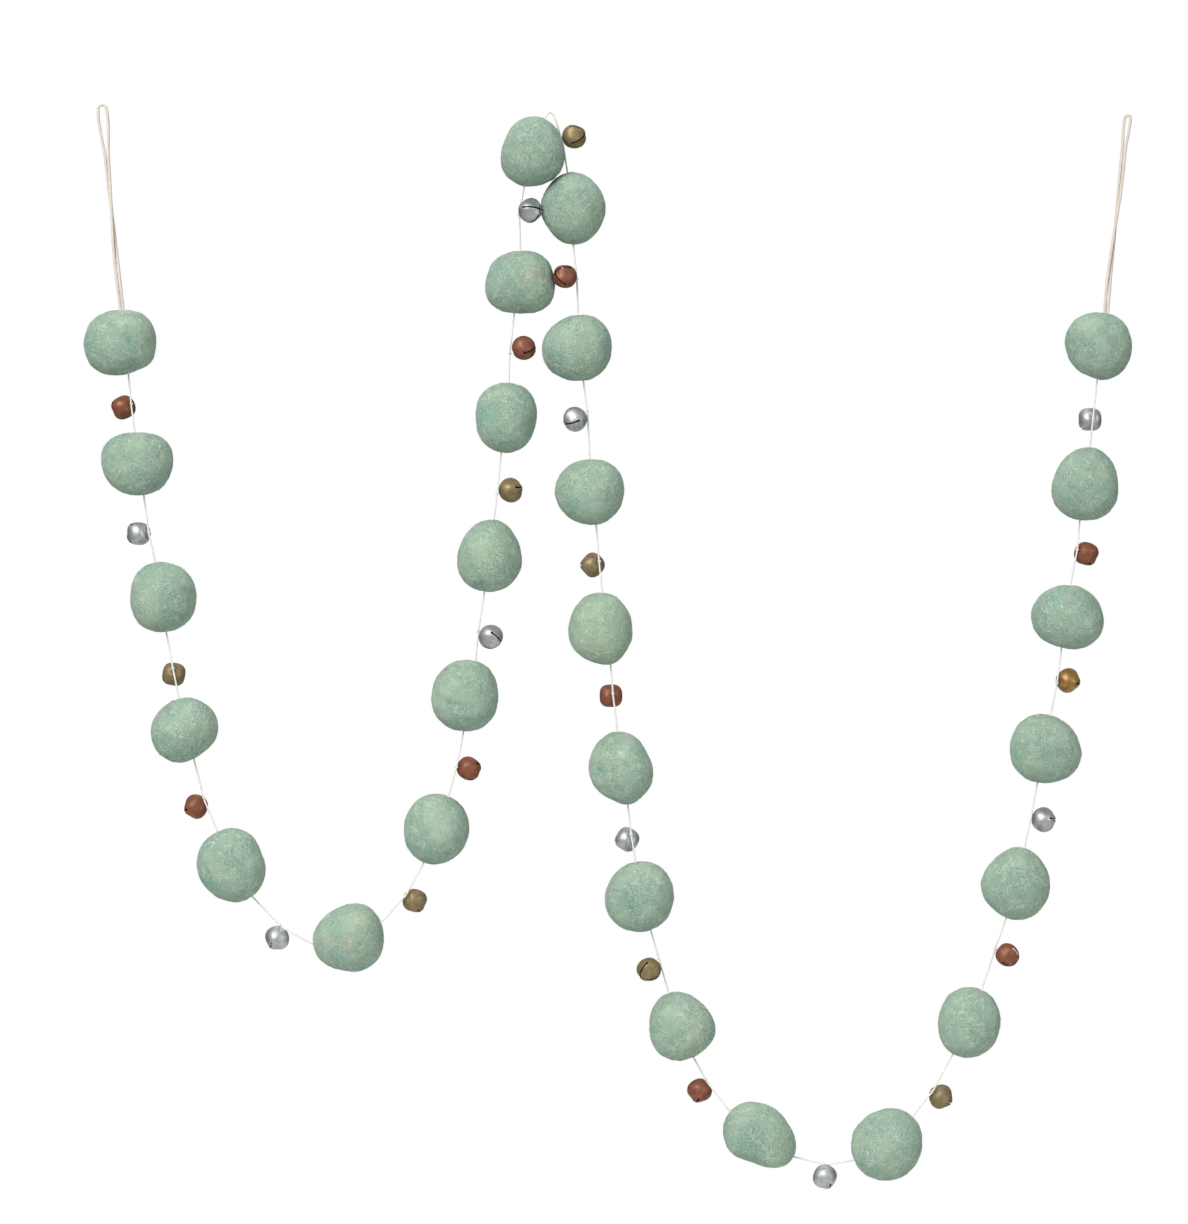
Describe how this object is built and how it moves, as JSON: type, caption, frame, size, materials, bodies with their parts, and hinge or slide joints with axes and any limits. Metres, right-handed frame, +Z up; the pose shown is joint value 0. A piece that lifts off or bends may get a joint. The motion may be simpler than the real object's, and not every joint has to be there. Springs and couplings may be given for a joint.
{
  "type": "felt ball garland",
  "caption": "Garland of hand-rolled wool felt balls with a small jingle bell between each pair, strung on one thread with a cord loop at each end, hanging in two swags.",
  "frame": {"origin": "top of the thread where it passes over the middle hook", "axes": "+Z up, +X to the right along the wall as seen from the front, +Y into the wall, away from the viewer"},
  "size_m": [0.4747, 0.035, 0.4923],
  "materials": {
    "felt": "wet-felted wool, matt, mottled mint green with pale fibres",
    "thread": "thin twisted off-white thread",
    "loop_cord": "soft cream cord with a pinkish beige shade",
    "bell_copper": "satin copper brown",
    "bell_silver": "satin silver",
    "bell_brass": "satin antique brass"
  },
  "bodies": {
    "root": {"felt_ball_01": "felt", "felt_ball_02": "felt", "felt_ball_03": "felt", "felt_ball_04": "felt", "felt_ball_05": "felt", "felt_ball_06": "felt", "felt_ball_07": "felt", "felt_ball_08": "felt", "felt_ball_09": "felt", "felt_ball_10": "felt", "felt_ball_11": "felt", "felt_ball_12": "felt", "felt_ball_13": "felt", "felt_ball_14": "felt", "felt_ball_15": "felt", "felt_ball_16": "felt", "felt_ball_17": "felt", "felt_ball_18": "felt", "felt_ball_19": "felt", "felt_ball_20": "felt", "felt_ball_21": "felt", "felt_ball_22": "felt", "felt_ball_23": "felt", "felt_ball_24": "felt", "felt_ball_25": "felt", "felt_ball_26": "felt", "felt_ball_27": "felt", "bell_01": "bell_copper", "bell_02": "bell_silver", "bell_03": "bell_brass", "bell_04": "bell_copper", "bell_05": "bell_silver", "bell_06": "bell_brass", "bell_07": "bell_copper", "bell_08": "bell_silver", "bell_09": "bell_brass", "bell_10": "bell_copper", "bell_11": "bell_silver", "bell_12": "bell_brass", "bell_13": "bell_copper", "bell_14": "bell_silver", "bell_15": "bell_brass", "bell_16": "bell_copper", "bell_17": "bell_silver", "bell_18": "bell_brass", "bell_19": "bell_copper", "bell_20": "bell_silver", "bell_21": "bell_brass", "bell_22": "bell_copper", "bell_23": "bell_silver", "bell_24": "bell_brass", "bell_25": "bell_copper", "bell_26": "bell_silver", "thread": "thread", "left_loop": "loop_cord", "right_loop": "loop_cord"}
  },
  "joints": []
}
